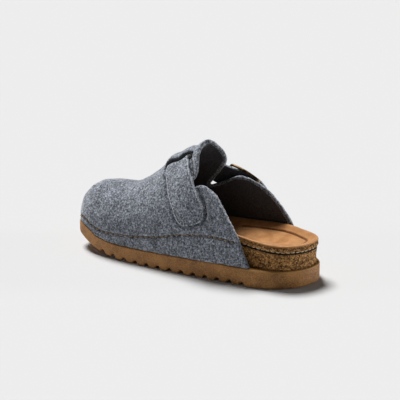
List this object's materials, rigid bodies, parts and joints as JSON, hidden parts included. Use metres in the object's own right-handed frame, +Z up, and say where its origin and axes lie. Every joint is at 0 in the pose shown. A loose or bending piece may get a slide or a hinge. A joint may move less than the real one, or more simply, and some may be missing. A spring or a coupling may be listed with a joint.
{
  "type": "felt clog",
  "caption": "Open-heel felt clog for the right foot: ribbed foam outsole, cork footbed with suede insole, one-piece felt upper, and a strap under the tongue's bridge with a pin buckle.",
  "frame": {"origin": "on the floor, below the centre of the clog's bounding box", "axes": "+Y from heel to toe, +X towards the outer (lateral) side of the right foot, +Z up"},
  "size_m": [0.0973, 0.27, 0.1339],
  "materials": {
    "foam_outsole": "matte fine-grained foam, cut and moulded",
    "cork": "pressed cork granules, sanded and sealed",
    "suede": "brushed suede nap",
    "felt": "pressed wool felt, heathered grey",
    "bronze": "antique bronze, satin"
  },
  "bodies": {
    "root": {"outsole": "foam_outsole", "footbed": "cork", "insole": "suede", "upper": "felt", "strap": "felt", "buckle_tab": "felt", "buckle_frame": "bronze", "buckle_pin": "bronze"}
  },
  "joints": []
}
